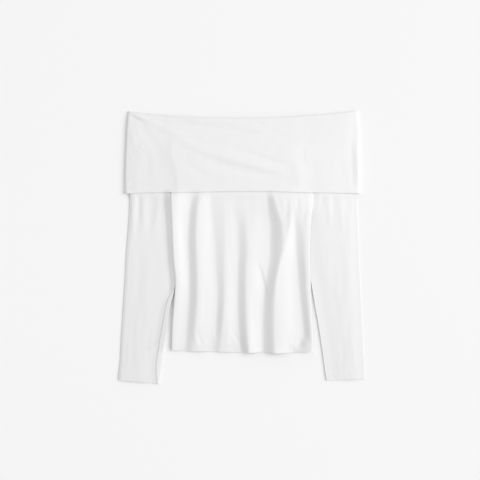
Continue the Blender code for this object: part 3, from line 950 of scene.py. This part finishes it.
BAND_SIDES = (
    BodySide(116.0, -250.7, 253.6),
    BodySide(200.0, -248.0, 252.2),
    BodySide(260.0, -245.0, 250.5),
    BodySide(293.0, -243.2, 249.2),
)
BAND_CREASES = (
    Crease(((139, 222), (139, 208), (141, 190), (146, 170)), 40, 0.7, 0.2),
    Crease(((115, 186), (119, 172), (125, 150), (130, 124)), 36, 1.0, 0.45),
    Crease(((-150, 238), (-120, 224), (-90, 210), (-60, 200)), 17, 1.1, 0.8),
    Crease(((-94, 209), (-60, 200), (-20, 188), (33, 175), (92, 160)), 19, 2.1, 0.7),
    Crease(((-96, 192), (-42, 174), (1, 162), (50, 154), (124, 138)), 16, -1.3),
    Crease(((-50, 221), (14, 203), (68, 183), (118, 172)), 11, -0.8),
    Crease(((-30, 258), (14, 254), (58, 250)), 6, 0.8),
    Crease(((-52, 266), (-20, 259), (0, 257)), 4, -0.7),
    Crease(((-28, 247), (4, 245), (38, 245)), 4, -0.8),
    Crease(((6, 268), (34, 266), (62, 258)), 5, -0.7),
    Crease(((-268, 294), (-236, 288), (-208, 283.5), (-182, 280.5), (-108, 273)), 7, -2.4),
    Crease(((-252, 288), (-230, 277), (-205, 265)), 6, -1.6),
    Crease(((-236, 284), (-218, 279), (-196, 273)), 6, 1.1),
    Crease(((-239, 252), (-232, 232), (-226, 208)), 9, 0.7),
    Crease(((-238, 194), (-235, 190), (-231, 184)), 5, 0.6),
    Crease(((-220, 220), (-216, 216), (-211, 209)), 5, 0.6),
    Crease(((-247, 128), (-236, 136), (-216, 140)), 5, -0.8),
    Crease(((-246, 142), (-230, 148), (-212, 147)), 6, 0.6),
    Crease(((-214, 132), (-196, 127), (-176, 129)), 5, -0.6),
    Crease(((247, 236), (249, 196), (250, 156), (251, 122)), 5, 2.8, 3.0),
    Crease(((-196, 281), (-107, 275), (-18, 267), (64, 262)), 13, 1.2),
    Crease(((-176, 268), (-107, 262), (-18, 251), (34, 247)), 9, -0.9),
    Crease(((-236, 280), (-220, 262), (-196, 232), (-176, 204)), 15, -0.8),
    Crease(((-232, 286), (-196, 268), (-150, 248), (-110, 238)), 12, 0.9),
    Crease(((100, 262), (150, 262), (236, 266)), 8, 0.5),
    Crease(((60, 246), (92, 236), (128, 232)), 10, -0.5),
    Crease(((-120, 180), (-96, 160), (-60, 146)), 12, -0.6),
    Crease(((-206, 210), (-200, 180), (-196, 140)), 13, -0.5),
)
BAND_LOFT = 1.0 * MM
LOFT_START = (4, 22)
LOFT_UP = 12 * MM
RIDGE = 1.0 * MM
RIDGE_UP = 3.5 * MM
RIDGE_WIDE = 7 * MM
BAND_UNEVEN = 0.24 * MM
EDGE_WAVE = 0.5 * MM
FOLD_RADIUS = 0.6 * MM
TURN_SHRINK = 0.75
LEAST_TURN = 0.5 * MM
CORNER_PRESS = 3.6 * MM
CORNER_WIDE = 4.5 * MM
CORNER_BEND = 1.3
END_PRESS = 1.2 * MM
LEFT_END_WIDE = 8 * MM
RIGHT_END_WIDE = 30 * MM


def band_edge_y(x):
    wave = EDGE_WAVE * np.sin(x / (37 * MM) + 0.8)
    return BAND_EDGE_Y - BAND_EDGE_DROP * (x / BAND_HALF_WIDTH) ** 2 + wave


def band():
    """The ring of the band: its outer leg, the fold along the neck, and a short inner leg."""
    around = BAND_UPPER + BAND_LOWER + 2 * BAND_SIDE
    rows = OUTER_ROWS + FOLD_ROWS + INNER_ROWS
    piece, wrap, along = cut_cloth("band_ring", around, rows)
    tube = wrapped(wrap, BAND_UPPER, BAND_LOWER, BAND_SIDE)
    row = along * rows
    share = np.clip(row / OUTER_ROWS, 0, 1)
    turned = math.pi * np.clip((row - OUTER_ROWS) / FOLD_ROWS, 0, 1)
    radius = BAND_WALL + SEAM_GAP / 2
    inset = radius * (1 - np.cos(turned))
    back_down = np.clip((row - OUTER_ROWS - FOLD_ROWS) / INNER_ROWS, 0, 1)
    shift = radius * np.sin(turned) - (TURN_DEPTH - radius) * back_down
    mid_y = BAND_EDGE_Y + (NECK_Y - BAND_EDGE_Y) * share
    left = column(BAND_SIDES, "left", mid_y)
    right = column(BAND_SIDES, "right", mid_y)
    turn = np.maximum(BAND_TURN - TURN_SHRINK * inset, LEAST_TURN)
    first = left + inset + turn
    last = right - inset - turn
    x = first + (last - first) * tube.share
    low = band_edge_y(x)
    high = neck_y(x) - BAND_WALL - SEAM_GAP / 2
    y = low + (high - low) * share + shift
    outer_leg = 1 - np.clip(turned / math.pi * 2, 0, 1)
    from_end = np.minimum(x - left, right - x)
    corner = abs(2 * share - 1) ** 2
    end_press = CORNER_PRESS * corner * np.clip(1 - from_end / CORNER_WIDE, 0, 1) ** CORNER_BEND
    end_wide = np.where(x < 0, LEFT_END_WIDE, RIGHT_END_WIDE)
    flatter = END_PRESS * (1 - corner) * np.clip(1 - from_end / end_wide, 0, 1)
    end_press = np.maximum(end_press, flatter)
    relief = creased(BAND_CREASES, x, y) + unevenness(x - 0.35 * y, 1.7 * y, BAND_UNEVEN)
    relief += BAND_LOFT * ramp(from_end, *LOFT_START) * eased((y - low) / LOFT_UP)
    relief += RIDGE * np.exp(-(((y - low - RIDGE_UP) / RIDGE_WIDE) ** 2))
    lift = plateau(x, y) + body_folds(x, y) - end_press
    top = BAND_HEIGHT + lift - inset + relief * outer_leg
    lay(piece, x + turn * tube.reach, y, layered(tube, top, inset))
    return piece


BAND_CUT = (1004 * MM, 176 * MM)
band_ring = band()
size_weave(band_ring, *BAND_CUT)
finish_cloth(band_ring, BAND_WALL, FOLD_RADIUS)
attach(band_ring, "root")
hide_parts("band")

# Stitching
# The hem and both cuffs are turned up and coverstitched in white thread: two parallel rows of short
# stitches on the outside, all the way round, on the upper layer and on the one under it.
STITCH = 2.5 * MM
PITCH = 3.3 * MM
THREAD = 0.24 * MM
HEM_ROWS = (15.0 * MM, 19.5 * MM)
CUFF_ROWS = (12.5 * MM, 17.0 * MM)
HEM_START = -146.5
HEM_REACH = 293.5
CUFF_MARGIN = 3
COPY_STEP = 3.0
RAY_START = 0.1
THREAD_SHADE = (0.80, 0.80, 0.80, 1)
THREAD_WHITE = (0.88, 0.88, 0.88, 1)

thread = Finish("white_thread", Roughness=0.55, Specular_IOR_Level=0.3)
thread_place = thread.add("ShaderNodeTexCoord", {}, out=3)
twist = thread.add("ShaderNodeTexNoise", {}, Vector=thread_place, Scale=1500.0)
thread.feed("Base Color", thread.mix(twist, THREAD_SHADE, THREAD_WHITE))
thread.feed("Roughness", 0.5 + twist * 0.15)


def on_cloth(piece, x, y, facing):
    """The spot on a piece straight below or above a place, from outside."""
    hit, spot, _, _ = piece.ray_cast((x, y, facing * RAY_START), (0, 0, -facing))
    return np.array(spot) if hit else None


def stitched(name, piece, line, row, facing):
    """The stitches on one side of a piece: line gives the edge's place for a share, 0 to 1."""
    start = np.array(line(0.0))
    end = np.array(line(1.0))
    count = int(np.linalg.norm(end - start) / PITCH)
    half = STITCH / PITCH / count / 2
    ends = []
    for k in range(count):
        middle = (k + 0.5) / count
        pair = []
        for share in (middle - half, middle + half):
            x, y = line(share)
            pair.append(on_cloth(piece, x, y + row, facing))
        if pair[0] is not None and pair[1] is not None:
            ends.append(pair)
    bpy.ops.object.select_all(action="DESELECT")
    bpy.ops.mesh.primitive_uv_sphere_add(segments=6, ring_count=5, radius=1)
    stitches = bpy.context.object
    stitches.name = name
    copies = stitches.modifiers.new("copies", "ARRAY")
    copies.count = len(ends)
    copies.use_relative_offset = False
    copies.use_constant_offset = True
    copies.constant_offset_displace = (COPY_STEP, 0, 0)
    bpy.ops.object.modifier_apply(modifier=copies.name)
    spots = np.empty(len(stitches.data.vertices) * 3)
    stitches.data.vertices.foreach_get("co", spots)
    spots = spots.reshape(-1, 3)
    which = np.rint(spots[:, 0] / COPY_STEP).astype(int)
    spots[:, 0] -= which * COPY_STEP
    first = np.array([pair[0] for pair in ends])[which]
    second = np.array([pair[1] for pair in ends])[which]
    run = second - first
    length = np.linalg.norm(run, axis=1, keepdims=True)
    way = run / length
    aside = np.cross(way, (0.0, 0.0, 1.0))
    aside /= np.linalg.norm(aside, axis=1, keepdims=True)
    upright = np.cross(aside, way)
    placed = (first + second) / 2 + way * spots[:, :1] * length / 2
    placed = placed + aside * spots[:, 1:2] * THREAD + upright * spots[:, 2:] * THREAD
    lay(stitches, placed[:, 0], placed[:, 1], placed[:, 2])
    bpy.ops.object.shade_smooth()
    stitches.data.materials.append(thread.material)
    return stitches


def stitch_edge(name, piece, line, rows, facings):
    """All the stitches of one piece's edge, joined."""
    parts = [stitched(name, piece, line, row, facing) for row in rows for facing in facings]
    for part in parts:
        part.select_set(True)
    bpy.context.view_layer.objects.active = parts[0]
    bpy.ops.object.join()
    joined = bpy.context.object
    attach(joined, "root")
    return joined


def hem_line(share):
    x = (HEM_START + HEM_REACH * share) * MM
    return x, float(hem_y(np.array([x]))[0])


def cuff_line(stations, outward):
    """A cuff's lower edge, from its outer corner to its inner one."""
    low = stations[0]

    def line(share):
        inset = CUFF_MARGIN + (abs(low.out_x - low.in_x) - 2 * CUFF_MARGIN) * share
        return (low.out_x - outward * inset) * MM, (low.out_y + (low.in_y - low.out_y) * share) * MM

    return line


both = (1, -1)
left_line = cuff_line(LEFT_SLEEVE, -1)
right_line = cuff_line(RIGHT_SLEEVE, 1)
hem_front = stitch_edge("hem_stitches_front", front, hem_line, HEM_ROWS, (1,))
hem_back = stitch_edge("hem_stitches_back", back, hem_line, HEM_ROWS, (-1,))
cuff_left = stitch_edge("cuff_stitches_left", sleeve_left, left_line, CUFF_ROWS, both)
cuff_right = stitch_edge("cuff_stitches_right", sleeve_right, right_line, CUFF_ROWS, both)
